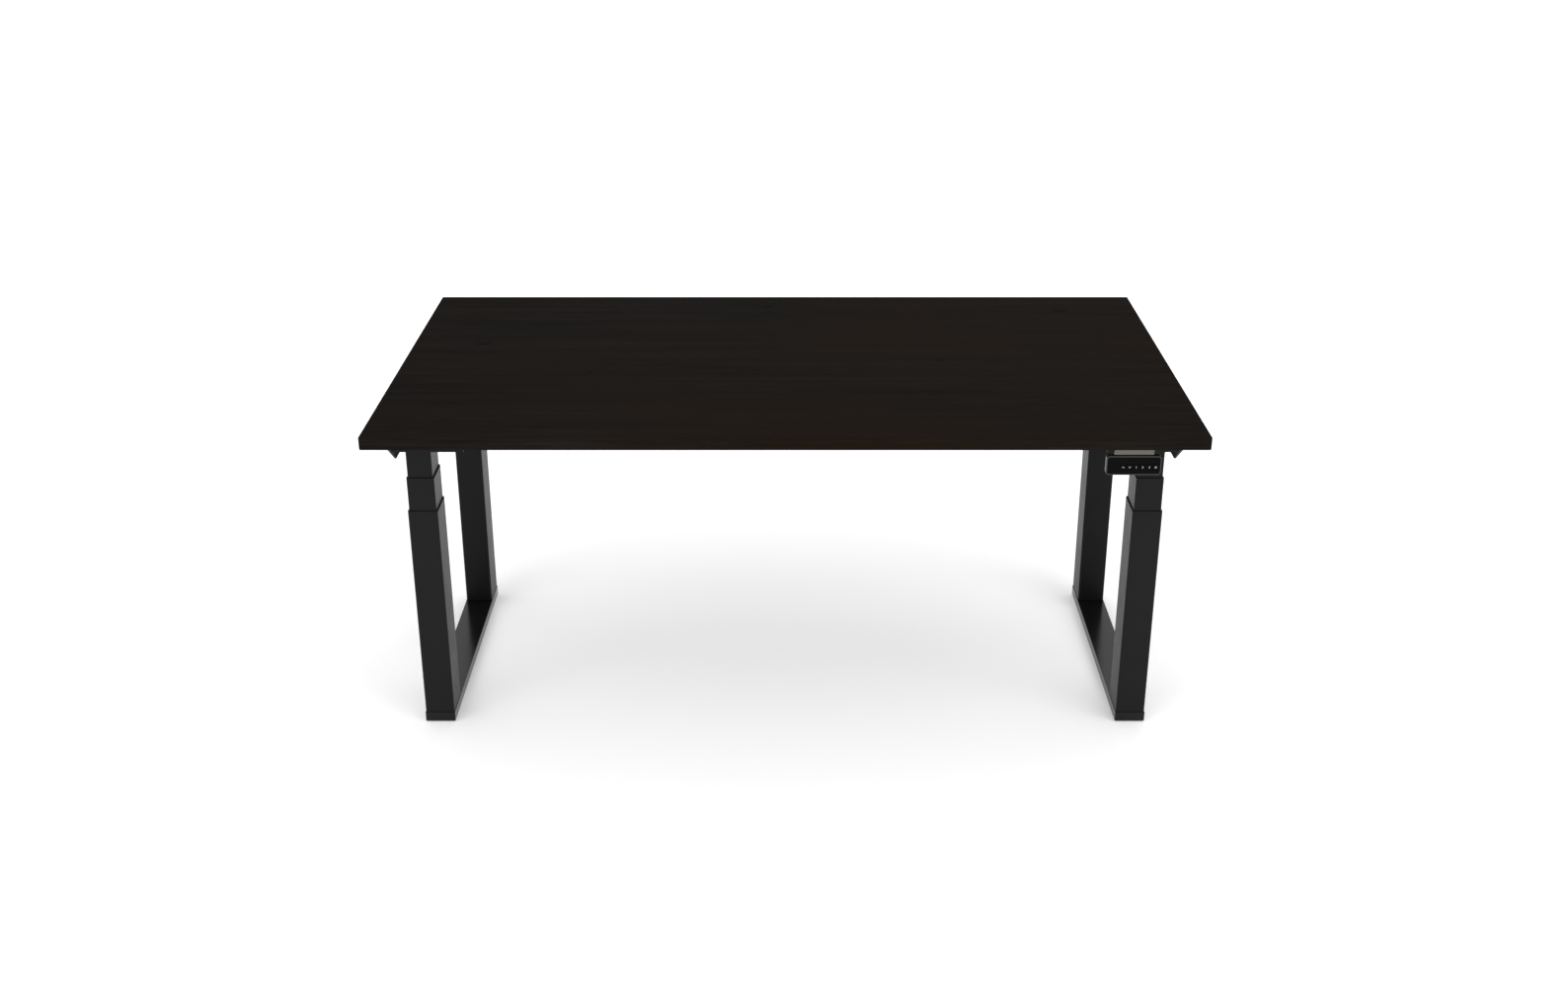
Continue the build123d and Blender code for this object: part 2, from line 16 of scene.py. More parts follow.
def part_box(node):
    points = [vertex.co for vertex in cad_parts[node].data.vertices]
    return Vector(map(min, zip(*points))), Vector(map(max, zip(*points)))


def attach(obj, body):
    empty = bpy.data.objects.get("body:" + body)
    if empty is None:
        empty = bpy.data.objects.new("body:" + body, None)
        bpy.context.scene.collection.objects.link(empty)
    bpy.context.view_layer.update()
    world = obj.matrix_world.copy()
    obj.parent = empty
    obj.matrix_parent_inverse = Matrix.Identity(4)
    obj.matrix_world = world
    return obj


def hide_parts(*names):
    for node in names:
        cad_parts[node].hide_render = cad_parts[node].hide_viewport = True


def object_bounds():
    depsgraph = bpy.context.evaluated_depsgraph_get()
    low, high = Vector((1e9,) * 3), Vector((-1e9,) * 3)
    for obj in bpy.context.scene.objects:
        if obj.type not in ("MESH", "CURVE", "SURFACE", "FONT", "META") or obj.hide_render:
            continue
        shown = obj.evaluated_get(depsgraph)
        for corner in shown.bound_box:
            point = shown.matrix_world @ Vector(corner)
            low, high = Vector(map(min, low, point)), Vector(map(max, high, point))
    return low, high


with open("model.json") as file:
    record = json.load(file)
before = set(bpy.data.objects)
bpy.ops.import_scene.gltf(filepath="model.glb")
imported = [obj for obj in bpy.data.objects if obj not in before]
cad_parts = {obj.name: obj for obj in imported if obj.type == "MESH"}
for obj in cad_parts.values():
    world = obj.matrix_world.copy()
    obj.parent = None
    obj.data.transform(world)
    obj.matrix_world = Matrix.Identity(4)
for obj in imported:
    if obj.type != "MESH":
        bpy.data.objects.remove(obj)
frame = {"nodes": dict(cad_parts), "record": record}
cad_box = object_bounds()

bl_info = {
    "name": "Height-adjustable desk",
    "version": (1, 0, 0),
    "blender": (4, 5, 0),
    "location": "3D View > Sidebar > Desk",
    "description": "Finishes, fasteners, contacts, welds and key signs of a desk, and its studio",
    "category": "Object",
}

MM = 0.001
PLACES = ("front_left", "rear_left", "front_right", "rear_right")
KEYS = ("up", "down", "one", "two", "three", "store")
DIGITS = {"one": "1", "two": "2", "three": "3"}
# A digit of the built-in face is about this share of its text size high
DIGIT_SHARE = 0.73
# Sides of the round forms
HEAD_SIDES = 40
SHANK_SIDES = 24
BEAD_SIDES = 12
FLOOR_SIDES = 96
# Edges that turn more than this stay sharp
SMOOTH_ANGLE = math.radians(35)
# Points nearer than this are one point, on a CAD mesh and on a printed sign
CAD_MERGE = 0.01 * MM
PRINT_MERGE = 0.001 * MM
# Points further than this below a face aren't on it
FACE_GAP = 0.1 * MM
SOFT_BOXES = {
    "soft_box_left": (-2.6, -3.0, 3.6),
    "soft_box_right": (2.8, -2.4, 3.4),
    "soft_box_rear": (0.4, 3.0, 3.8),
}
FASTENER_SIZES = (
    "Head Radius",
    "Brim Radius",
    "Brim Height",
    "Barrel Height",
    "Head Height",
    "Shank Radius",
    "Shank Length",
)


def linear(code):
    """Turn an sRGB hex colour into linear red, green and blue."""
    channels = [int(code[start : start + 2], 16) / 255 for start in (1, 3, 5)]
    return [c / 12.92 if c <= 0.04045 else ((c + 0.055) / 1.055) ** 2.4 for c in channels]


def colour(name, description, code):
    """Give a colour property with an sRGB hex default."""
    return FloatVectorProperty(
        name=name, description=description, subtype="COLOR", min=0, max=1, default=linear(code)
    )


def length(name, description, millimetres):
    """Give a length property with a default in millimetres."""
    return FloatProperty(
        name=name, description=description, unit="LENGTH", min=0, default=millimetres * MM
    )


class DeskSizes(bpy.types.PropertyGroup):
    """Sizes of the small pieces that a user would change, and the seed of their turns."""

    frame_socket: length("Frame bolt socket", "Six-sided socket across its flats", 5.0)
    base_socket: length("Column bolt socket", "Six-sided socket across its flats", 5.0)
    socket_depth: length("Bolt socket depth", "Depth of the six-sided sockets", 2.6)
    bolt_chamfer: length("Bolt chamfer", "Chamfer round the bolt heads", 0.8)
    cross_span: length("Screw cross", "Span of the cross recess in the screws", 5.4)
    cross_slot: length("Screw cross slot", "Width of the slots of the cross", 1.1)
    cross_depth: length("Screw cross depth", "Depth of the cross recess", 1.4)
    screw_chamfer: length("Screw chamfer", "Chamfer round the screw heads", 0.9)
    contact_width: length("Contact width", "Width of a contact in the motor sockets", 1.2)
    contact_pitch: length("Contact pitch", "Spacing of the contacts in the motor sockets", 4.0)
    contact_stem: length("Contact stem", "Straight length of the contacts", 4.8)
    contact_tip: length("Contact tip", "Tapered length of the contacts", 1.2)
    contact_root: length("Contact root", "How far behind a socket's clear space they start", 1.0)
    wire_width: length("Wire contact width", "Width of a contact in the handset socket", 0.5)
    wire_pitch: length("Wire contact pitch", "Spacing of the contacts in the handset socket", 1.1)
    blade_width: length("Blade width", "Width of a blade in the mains inlet", 2.0)
    blade_height: length("Blade height", "Height of a blade in the mains inlet", 4.0)
    blade_pitch: length("Blade pitch", "Spacing of the blades in the mains inlet", 7.0)
    blade_step: length("Blade step", "How far the middle blade lies off the row", 4.0)
    weld_radius: length("Weld radius", "Radius of the weld beads under the head plates", 2.6)
    weld_ripple: length("Weld ripple", "Spacing of the ripples along a weld bead", 2.4)
    thread_pitch: length("Thread pitch", "Spacing of the ridges of the two-start lift screws", 5.0)
    sign_height: length("Sign height", "Height of the digits on the keys", 4.2)
    sign_stroke: length("Sign stroke", "Line width of the drawn signs", 0.7)
    sign_print: length("Print thickness", "Thickness of the printed signs", 0.06)
    seed: IntProperty(name="Seed", description="Turns of the bolts and screws", default=7)


class DeskColours(bpy.types.PropertyGroup):
    """Colours of the finishes."""

    wood_dark: colour("Wood dark", "Dark grain of the table top", "#0D0B09")
    wood_light: colour("Wood light", "Light grain of the table top", "#1A1715")
    wood_warm: colour("Wood warm", "Warmer clouds of the table top", "#19120C")
    coat: colour("Coat", "Powder coat of the legs and the frame", "#0E0E0F")
    glide: colour("Glides", "Collars, glides and shoes", "#1A1A1B")
    steel: colour("Steel", "Plain steel of the lift drives", "#8E9092")
    acetal: colour("Acetal", "Nuts of the lift drives", "#E4E0D4")
    fastener: colour("Fasteners", "Blackened bolts and screws", "#2B2B2D")
    rubber: colour("Rubber", "Levelling feet", "#121213")
    box: colour("Control box", "Case of the control box", "#151516")
    bracket: colour("Bracket", "Sheet above the handset", "#676661")
    case: colour("Handset case", "Case of the handset", "#262627")
    gloss: colour("Handset face", "Glossy face and keys", "#050505")
    sign: colour("Signs", "Print on the keys", "#C8C8C6")
    mask: colour("Solder mask", "Circuit board in the handset", "#0F4A2C")
    contact: colour("Contacts", "Plated contacts in the sockets", "#C8A860")
    floor: colour("Floor", "Studio floor", "#EDEDED")


class DeskStage(bpy.types.PropertyGroup):
    """Camera, light and floor of the studio."""

    camera_place: FloatVectorProperty(
        name="Camera place",
        description="Where the camera stands",
        subtype="TRANSLATION",
        unit="LENGTH",
        default=(-0.0023, -3.5264, 1.9124),
    )
    camera_pitch: FloatProperty(
        name="Camera pitch",
        description="How far the camera looks down",
        subtype="ANGLE",
        default=math.radians(23.306),
    )
    lens: FloatProperty(
        name="Lens", description="Focal length", unit="CAMERA", min=1, default=40.585
    )
    sensor: FloatProperty(
        name="Sensor", description="Width of the sensor", unit="CAMERA", min=1, default=36.0
    )
    floor_radius: FloatProperty(
        name="Floor radius", description="Reach of the floor", unit="LENGTH", default=60.0
    )
    floor_glow: FloatProperty(
        name="Floor glow", description="Light of the floor, as on a light table", min=0, default=0.2
    )
    world_strength: FloatProperty(
        name="World strength", description="Brightness all round", min=0, default=1.0
    )
    lamp_power: FloatProperty(
        name="Lamp power", description="Power of each soft box", unit="POWER", min=0, default=45.0
    )
    lamp_size: FloatProperty(
        name="Lamp size", description="Side of each soft box", unit="LENGTH", default=3.0
    )


def add_node(tree, kind, inputs=(), **settings):
    """Add a node with its settings. An input is a value, a socket, a node, or a list of these."""
    node = tree.nodes.new(kind)
    for name, value in settings.items():
        setattr(node, name, value)
    sockets = {socket.identifier: socket for socket in node.inputs}
    for name, value in dict(inputs).items():
        for source in value if isinstance(value, list) else [value]:
            if isinstance(source, bpy.types.Node):
                source = next(socket for socket in source.outputs if socket.enabled)
            if isinstance(source, bpy.types.NodeSocket):
                tree.links.new(source, sockets[name])
            else:
                sockets[name].default_value = source
    return node


def per_metre(millimetres):
    """Give the scale of a texture whose marks have this size."""
    return 1 / (millimetres * MM)


def start_material(name):
    """Start a material: the material, its empty tree and the place on the piece."""
    material = bpy.data.materials.new(name)
    material.use_nodes = True
    material.node_tree.nodes.clear()
    place = add_node(material.node_tree, "ShaderNodeTexCoord").outputs["Object"]
    return material, material.node_tree, place


def end_material(tree, inputs):
    """Close a material with its shader."""
    shader = add_node(tree, "ShaderNodeBsdfPrincipled", inputs)
    add_node(tree, "ShaderNodeOutputMaterial", {"Surface": shader})


def tint(rgb, factor=1.0):
    """Give a colour as red, green, blue and alpha, made lighter or darker."""
    return (*[channel * factor for channel in rgb], 1)


def grain_lay(tree, place, facing):
    """Lay the grain along X, but along Y on the bands of the two ends."""
    squared = add_node(
        tree, "ShaderNodeMath", {"Value": facing, "Value_001": facing}, operation="MULTIPLY"
    )
    on_end = add_node(
        tree, "ShaderNodeMath", {"Value": squared, "Value_001": 0.5}, operation="GREATER_THAN"
    )
    turned = add_node(
        tree, "ShaderNodeMapping", {"Vector": place, "Rotation": Euler((0, 0, math.pi / 2))}
    )
    return add_node(
        tree,
        "ShaderNodeMix",
        {"Factor_Float": on_end, "A_Vector": place, "B_Vector": turned},
        data_type="VECTOR",
    )


def oak_grain(tree, lay):
    """Draw the bands and the fibres of the grain, much longer than wide, which sway a little."""
    times_longer = 30
    sway_reach = 30 * MM
    # Widths across the grain in millimetres
    sway_width = 110
    band_width = 22
    fibre_width = 4.5
    along = add_node(
        tree, "ShaderNodeMapping", {"Vector": lay, "Scale": (1 / times_longer, 1, 1)}
    )
    sway = add_node(tree, "ShaderNodeTexNoise", {"Vector": along, "Scale": per_metre(sway_width)})
    swayed = add_node(
        tree,
        "ShaderNodeVectorMath",
        {"Vector": sway.outputs["Color"], "Vector_001": (0, sway_reach, 0), "Vector_002": along},
        operation="MULTIPLY_ADD",
    )
    bands = add_node(
        tree,
        "ShaderNodeTexNoise",
        {"Vector": swayed, "Scale": per_metre(band_width), "Detail": 3, "Roughness": 0.7},
    )
    fibres = add_node(
        tree,
        "ShaderNodeTexNoise",
        {"Vector": swayed, "Scale": per_metre(fibre_width), "Detail": 4, "Roughness": 0.6},
    )
    return bands, fibres


def oak_marks(tree, lay, drawn_out, on_edge):
    """Darken the pores and the knots of the grain: 1 where there is none, and less on a mark."""
    # Pores are short strokes
    pore_width = 1.6
    times_longer = 12
    short = add_node(
        tree, "ShaderNodeMapping", {"Vector": lay, "Scale": (1 / times_longer, 1, 1)}
    )
    pores = add_node(
        tree, "ShaderNodeTexNoise", {"Vector": short, "Scale": per_metre(pore_width), "Detail": 1}
    )
    pore_marks = add_node(
        tree,
        "ShaderNodeMapRange",
        {"Value": pores, "From Min": 0.6, "From Max": 0.75, "To Min": 1, "To Max": 0.72},
    )
    # Knots are spots of various sizes in some of the cells, and the edges have none
    knot_spacing = 130
    share_with_knot = 0.38
    cells = add_node(
        tree,
        "ShaderNodeTexVoronoi",
        {"Vector": drawn_out, "Scale": per_metre(knot_spacing)},
        voronoi_dimensions="2D",
    )
    draw = add_node(tree, "ShaderNodeSeparateColor", {"Color": cells.outputs["Color"]})
    shrink = add_node(
        tree, "ShaderNodeMapRange", {"Value": draw.outputs["Green"], "To Min": 0.7, "To Max": 2.2}
    )
    reach = add_node(
        tree, "ShaderNodeMath", {"Value": cells, "Value_001": shrink}, operation="MULTIPLY"
    )
    spots = add_node(
        tree,
        "ShaderNodeMapRange",
        {"Value": reach, "From Min": 0.02, "From Max": 0.075, "To Min": 0.55, "To Max": 1},
        interpolation_type="SMOOTHSTEP",
    )
    bare = add_node(
        tree, "ShaderNodeMath", {"Value": draw, "Value_001": share_with_knot}, operation="GREATER_THAN"
    )
    knotless = add_node(
        tree, "ShaderNodeMath", {"Value": bare, "Value_001": on_edge}, operation="MAXIMUM"
    )
    knots = add_node(
        tree, "ShaderNodeMath", {"Value": spots, "Value_001": knotless}, operation="MAXIMUM"
    )
    return add_node(
        tree, "ShaderNodeMath", {"Value": pore_marks, "Value_001": knots}, operation="MULTIPLY"
    )


def stained_oak_laminate(colours):
    """Melamine sheet printed as dark-stained oak: matt, with fine grain, soft clouds and small knots."""
    material, tree, place = start_material("stained_oak_laminate")
    facing = add_node(tree, "ShaderNodeSeparateXYZ", {"Vector": place.node.outputs["Normal"]})
    lay = grain_lay(tree, place, facing)
    bands, fibres = oak_grain(tree, lay)
    grain = add_node(
        tree, "ShaderNodeMix", {"Factor_Float": 0.55, "A_Float": bands, "B_Float": fibres}
    )
    tone = add_node(
        tree, "ShaderNodeMapRange", {"Value": grain, "From Min": 0.34, "From Max": 0.66}
    )
    wood = add_node(
        tree,
        "ShaderNodeMix",
        {"Factor_Float": tone, "A_Color": tint(colours.wood_dark), "B_Color": tint(colours.wood_light)},
        data_type="RGBA",
    )
    # Soft clouds of warmer stain, drawn out along the grain, most of them at the right
    cloud_width = 380
    times_longer = 2.5
    drawn_out = add_node(
        tree,
        "ShaderNodeMapping",
        {"Vector": lay, "Location": (1.2, -0.6, 0), "Scale": (1 / times_longer, 1, 1)},
    )
    clouds = add_node(
        tree, "ShaderNodeTexNoise", {"Vector": drawn_out, "Scale": per_metre(cloud_width)}
    )
    warmth = add_node(
        tree,
        "ShaderNodeMapRange",
        {"Value": clouds, "From Min": 0.38, "From Max": 0.68, "To Max": 0.6},
        interpolation_type="SMOOTHSTEP",
    )
    stained = add_node(
        tree,
        "ShaderNodeMix",
        {"Factor_Float": warmth, "A_Color": wood, "B_Color": tint(colours.wood_warm)},
        data_type="RGBA",
    )
    flat = add_node(
        tree, "ShaderNodeMath", {"Value": facing.outputs["Z"]}, operation="ABSOLUTE"
    )
    on_edge = add_node(
        tree, "ShaderNodeMath", {"Value": flat, "Value_001": 0.7}, operation="LESS_THAN"
    )
    marks = oak_marks(tree, lay, drawn_out, on_edge)
    # The edges, which face sideways, are painted a shade lighter than the faces: painted light that
    # makes up for the less light they catch
    painted_edge_light = add_node(tree, "ShaderNodeMapRange", {"Value": on_edge, "To Min": 1, "To Max": 1.4})
    # The pore and knot marks times the painted edge light
    marks_and_edge_light = add_node(
        tree, "ShaderNodeMath", {"Value": marks, "Value_001": painted_edge_light}, operation="MULTIPLY"
    )
    shown = add_node(
        tree, "ShaderNodeVectorMath", {"Vector": stained, "Scale": marks_and_edge_light}, operation="SCALE"
    )
    roughness = add_node(
        tree, "ShaderNodeMapRange", {"Value": fibres, "To Min": 0.56, "To Max": 0.72}
    )
    bump = add_node(
        tree, "ShaderNodeBump", {"Height": marks, "Strength": 0.25, "Distance": 0.1 * MM}
    )
    end_material(
        tree,
        {"Base Color": shown, "Roughness": roughness, "Normal": bump, "Specular IOR Level": 0.004},
    )
    return material


def powder_coat(name, colours, roughness, specular):
    """Powder coat baked on steel: near black, with a fine orange peel that softens reflections."""
    material, tree, place = start_material(name)
    peel_width = 1.8
    cloud_width = 60
    spread = 0.05
    peel = add_node(
        tree, "ShaderNodeTexNoise", {"Vector": place, "Scale": per_metre(peel_width), "Detail": 2}
    )
    cloud = add_node(
        tree, "ShaderNodeTexNoise", {"Vector": place, "Scale": per_metre(cloud_width), "Detail": 3}
    )
    coat = add_node(
        tree,
        "ShaderNodeMix",
        {"Factor_Float": cloud, "A_Color": tint(colours.coat, 0.8), "B_Color": tint(colours.coat, 1.2)},
        data_type="RGBA",
    )
    satin = add_node(
        tree,
        "ShaderNodeMapRange",
        {"Value": cloud, "To Min": roughness - spread, "To Max": roughness + spread},
    )
    bump = add_node(
        tree, "ShaderNodeBump", {"Height": peel, "Strength": 0.12, "Distance": 0.1 * MM}
    )
    end_material(
        tree,
        {"Base Color": coat, "Roughness": satin, "Normal": bump, "Specular IOR Level": specular},
    )
    return material


def moulded_plastic(name, rgb, roughness, specular, grit):
    """Moulded plastic: even colour with the fine matt grit of a spark-eroded mould."""
    material, tree, place = start_material(name)
    spread = 0.06
    speck = add_node(
        tree, "ShaderNodeTexNoise", {"Vector": place, "Scale": per_metre(grit), "Detail": 2}
    )
    shade = add_node(
        tree,
        "ShaderNodeMix",
        {"Factor_Float": speck, "A_Color": tint(rgb, 0.82), "B_Color": tint(rgb, 1.18)},
        data_type="RGBA",
    )
    matt = add_node(
        tree,
        "ShaderNodeMapRange",
        {"Value": speck, "To Min": roughness - spread, "To Max": roughness + spread},
    )
    bump = add_node(
        tree, "ShaderNodeBump", {"Height": speck, "Strength": 0.3, "Distance": 0.05 * MM}
    )
    end_material(
        tree,
        {"Base Color": shade, "Roughness": matt, "Normal": bump, "Specular IOR Level": specular},
    )
    return material


def drawn_metal(name, rgb, roughness, stretch):
    """Bare or plated metal: fine lines left along the way it was drawn, brushed or turned."""
    material, tree, place = start_material(name)
    line_width = 0.7
    spread = 0.08
    along = add_node(tree, "ShaderNodeMapping", {"Vector": place, "Scale": stretch})
    lines = add_node(
        tree, "ShaderNodeTexNoise", {"Vector": along, "Scale": per_metre(line_width), "Detail": 3}
    )
    shade = add_node(
        tree,
        "ShaderNodeMix",
        {"Factor_Float": lines, "A_Color": tint(rgb, 0.85), "B_Color": tint(rgb, 1.15)},
        data_type="RGBA",
    )
    matt = add_node(
        tree,
        "ShaderNodeMapRange",
        {"Value": lines, "To Min": roughness - spread, "To Max": roughness + spread},
    )
    end_material(tree, {"Base Color": shade, "Roughness": matt, "Metallic": 1})
    return material


def rolled_thread(colours, pitch):
    """Screws with a rolled thread: bright crests, and grooves painted darker as painted shade."""
    material, tree, place = start_material("rolled_thread")
    # A wave texture at scale 1 repeats every 2 pi / 20 of a unit
    thread = add_node(
        tree,
        "ShaderNodeTexWave",
        {"Vector": place, "Scale": math.tau / 20 / pitch},
        bands_direction="Z",
    )
    # The grooves take a darker copy of the steel: painted shade in the hollows of the thread
    shade = add_node(
        tree,
        "ShaderNodeMix",
        {"Factor_Float": thread, "A_Color": tint(colours.steel, 0.3), "B_Color": tint(colours.steel)},
        data_type="RGBA",
    )
    matt = add_node(tree, "ShaderNodeMapRange", {"Value": thread, "To Min": 0.5, "To Max": 0.25})
    bump = add_node(tree, "ShaderNodeBump", {"Height": thread, "Distance": pitch / 4})
    end_material(tree, {"Base Color": shade, "Roughness": matt, "Metallic": 1, "Normal": bump})
    return material


def glossy_acrylic(colours):
    """Polished black acrylic: mirror-smooth, with faint wipe marks in its gloss."""
    material, tree, place = start_material("glossy_acrylic")
    gloss = colours.gloss
    wipe_width = 14
    wipes = add_node(
        tree, "ShaderNodeTexNoise", {"Vector": place, "Scale": per_metre(wipe_width), "Detail": 3}
    )
    shade = add_node(
        tree,
        "ShaderNodeMix",
        {"Factor_Float": wipes, "A_Color": tint(gloss, 0.8), "B_Color": tint(gloss, 1.2)},
        data_type="RGBA",
    )
    polish = add_node(tree, "ShaderNodeMapRange", {"Value": wipes, "To Min": 0.06, "To Max": 0.16})
    end_material(
        tree, {"Base Color": shade, "Roughness": polish, "IOR": 1.49, "Specular IOR Level": 0.05}
    )
    return material


def solder_mask(colours):
    """Circuit board: green lacquer over copper tracks, which show as lighter lines."""
    material, tree, place = start_material("solder_mask")
    track_spacing = 6
    tracks = add_node(
        tree,
        "ShaderNodeTexVoronoi",
        {"Vector": place, "Scale": per_metre(track_spacing)},
        feature="DISTANCE_TO_EDGE",
        distance="MANHATTAN",
    )
    line = add_node(
        tree, "ShaderNodeMapRange", {"Value": tracks, "From Max": 0.06, "To Min": 1, "To Max": 0}
    )
    shade = add_node(
        tree,
        "ShaderNodeMix",
        {"Factor_Float": line, "A_Color": tint(colours.mask), "B_Color": tint(colours.mask, 2.2)},
        data_type="RGBA",
    )
    end_material(tree, {"Base Color": shade, "Roughness": 0.3})
    return material


def screen_print(colours):
    """Light grey screen-printed ink: opaque and matt, a little uneven."""
    return moulded_plastic("screen_print", colours.sign, roughness=0.55, specular=0.3, grit=0.4)


def per_column(piece):
    """Name the CAD nodes of a piece that each of the four columns has."""
    return [f"{piece}_{place}" for place in PLACES]


def paint(material, *nodes):
    """Give CAD nodes their finish."""
    for node in nodes:
        mesh = frame["nodes"][node].data
        mesh.materials.clear()
        mesh.materials.append(material)


def start_tree(name, sizes):
    """Start a geometry tree: the tree and its group input, with a place for every named size."""
    tree = bpy.data.node_groups.new(name, "GeometryNodeTree")
    tree.interface.new_socket("Places", in_out="INPUT", socket_type="NodeSocketGeometry")
    for size in sizes:
        socket = tree.interface.new_socket(size, in_out="INPUT", socket_type="NodeSocketFloat")
        socket.subtype = "DISTANCE"
    tree.interface.new_socket("Seed", in_out="INPUT", socket_type="NodeSocketInt")
    tree.interface.new_socket("Finish", in_out="INPUT", socket_type="NodeSocketMaterial")
    tree.interface.new_socket("Pieces", in_out="OUTPUT", socket_type="NodeSocketGeometry")
    return tree, add_node(tree, "NodeGroupInput").outputs


def end_tree(tree, given, shape, rotation):
    """Set the shape at every place, as real geometry with its finish."""
    copies = add_node(
        tree,
        "GeometryNodeInstanceOnPoints",
        {"Points": given["Places"], "Instance": shape, "Rotation": rotation},
    )
    real = add_node(tree, "GeometryNodeRealizeInstances", {"Geometry": copies})
    finished = add_node(
        tree, "GeometryNodeSetMaterial", {"Geometry": real, "Material": given["Finish"]}
    )
    output = add_node(tree, "NodeGroupOutput")
    tree.links.new(finished.outputs["Geometry"], output.inputs["Pieces"])


def headed_shank(tree, given):
    """Draw a chamfered head upwards from its face at Z = 0, with the shank on top of it."""
    drums = []
    for sides, foot, top, height, base in (
        (HEAD_SIDES, "Brim Radius", "Head Radius", "Brim Height", None),
        (HEAD_SIDES, "Head Radius", "Head Radius", "Barrel Height", "Brim Height"),
        (SHANK_SIDES, "Shank Radius", "Shank Radius", "Shank Length", "Head Height"),
    ):
        drum = add_node(
            tree,
            "GeometryNodeMeshCone",
            {
                "Vertices": sides,
                "Radius Bottom": given[foot],
                "Radius Top": given[top],
                "Depth": given[height],
            },
        )
        if base is not None:
            lift = add_node(tree, "ShaderNodeCombineXYZ", {"Z": given[base]})
            drum = add_node(
                tree, "GeometryNodeTransform", {"Geometry": drum, "Translation": lift}
            )
        drums.append(drum)
    return add_node(
        tree, "GeometryNodeMeshBoolean", {"Mesh 2": drums}, operation="UNION", solver="EXACT"
    )


def cut_recess(tree, given, solid, tools):
    """Cut a recess into the faces of the heads, and turn each fastener as it happened to stop."""
    cut = add_node(
        tree,
        "GeometryNodeMeshBoolean",
        {"Mesh 1": solid, "Mesh 2": tools},
        operation="DIFFERENCE",
        solver="EXACT",
    )
    turn = add_node(tree, "FunctionNodeRandomValue", {"Max_001": math.tau, "Seed": given["Seed"]})
    rotation = add_node(
        tree, "FunctionNodeAxisAngleToRotation", {"Axis": (0, 0, 1), "Angle": turn}
    )
    end_tree(tree, given, cut, rotation)
    return tree


def hex_bolt_tree():
    """Bolts with a six-sided socket."""
    tree, given = start_tree("hex_bolts", (*FASTENER_SIZES, "Socket Radius", "Tool Height"))
    tool = add_node(
        tree,
        "GeometryNodeMeshCylinder",
        {"Vertices": 6, "Radius": given["Socket Radius"], "Depth": given["Tool Height"]},
    )
    return cut_recess(tree, given, headed_shank(tree, given), [tool])


def cross_screw_tree():
    """Screws with a cross recess."""
    tree, given = start_tree("cross_screws", (*FASTENER_SIZES, "Cross", "Slot", "Tool Height"))
    slots = []
    for x, y in (("Cross", "Slot"), ("Slot", "Cross")):
        size = add_node(
            tree, "ShaderNodeCombineXYZ", {"X": given[x], "Y": given[y], "Z": given["Tool Height"]}
        )
        slots.append(add_node(tree, "GeometryNodeMeshCube", {"Size": size}))
    return cut_recess(tree, given, headed_shank(tree, given), slots)


def contact_tree():
    """Flat contacts that stand out of a socket's floor along +Y, with tapered tips."""
    tree, given = start_tree("contacts", ("Width", "Height", "Stem Length", "Tip Length"))
    # A four-sided cone of radius root half has sides of length 1
    side = math.sqrt(0.5)
    stem = add_node(
        tree,
        "GeometryNodeMeshCone",
        {"Vertices": 4, "Radius Bottom": side, "Radius Top": side, "Depth": given["Stem Length"]},
    )
    tip = add_node(
        tree,
        "GeometryNodeMeshCone",
        {"Vertices": 4, "Radius Bottom": side, "Radius Top": side / 2, "Depth": given["Tip Length"]},
    )
    lift = add_node(tree, "ShaderNodeCombineXYZ", {"Z": given["Stem Length"]})
    raised = add_node(tree, "GeometryNodeTransform", {"Geometry": tip, "Translation": lift})
    pin = add_node(
        tree, "GeometryNodeMeshBoolean", {"Mesh 2": [stem, raised]}, operation="UNION", solver="EXACT"
    )
    squared = add_node(
        tree, "GeometryNodeTransform", {"Geometry": pin, "Rotation": Euler((0, 0, math.pi / 4))}
    )
    section = add_node(
        tree, "ShaderNodeCombineXYZ", {"X": given["Width"], "Y": given["Height"], "Z": 1.0}
    )
    blade = add_node(tree, "GeometryNodeTransform", {"Geometry": squared, "Scale": section})
    end_tree(tree, given, blade, Euler((-math.pi / 2, 0, 0)))
    return tree


def weld_tree():
    """Weld beads along +X, with the ripples that the pool leaves as it freezes."""
    tree, given = start_tree("welds", ("Length", "Radius", "Ring Step"))
    ripple_share = 0.06
    line = add_node(
        tree,
        "GeometryNodeCurvePrimitiveLine",
        {"Direction": (1, 0, 0), "Length": given["Length"]},
        mode="DIRECTION",
    )
    rings = add_node(
        tree, "GeometryNodeResampleCurve", {"Curve": line, "Length": given["Ring Step"]}, mode="LENGTH"
    )
    # Four rings make one ripple
    index = add_node(tree, "GeometryNodeInputIndex")
    angle = add_node(
        tree, "ShaderNodeMath", {"Value": index, "Value_001": math.pi / 2}, operation="MULTIPLY"
    )
    wave = add_node(tree, "ShaderNodeMath", {"Value": angle}, operation="SINE")
    swell = add_node(
        tree,
        "ShaderNodeMath",
        {"Value": wave, "Value_001": ripple_share, "Value_002": 1},
        operation="MULTIPLY_ADD",
    )
    profile = add_node(
        tree,
        "GeometryNodeCurvePrimitiveCircle",
        {"Resolution": BEAD_SIDES, "Radius": given["Radius"]},
    )
    bead = add_node(
        tree,
        "GeometryNodeCurveToMesh",
        {"Curve": rings, "Profile Curve": profile, "Scale": swell, "Fill Caps": True},
    )
    end_tree(tree, given, bead, Euler((0, 0, 0)))
    return tree


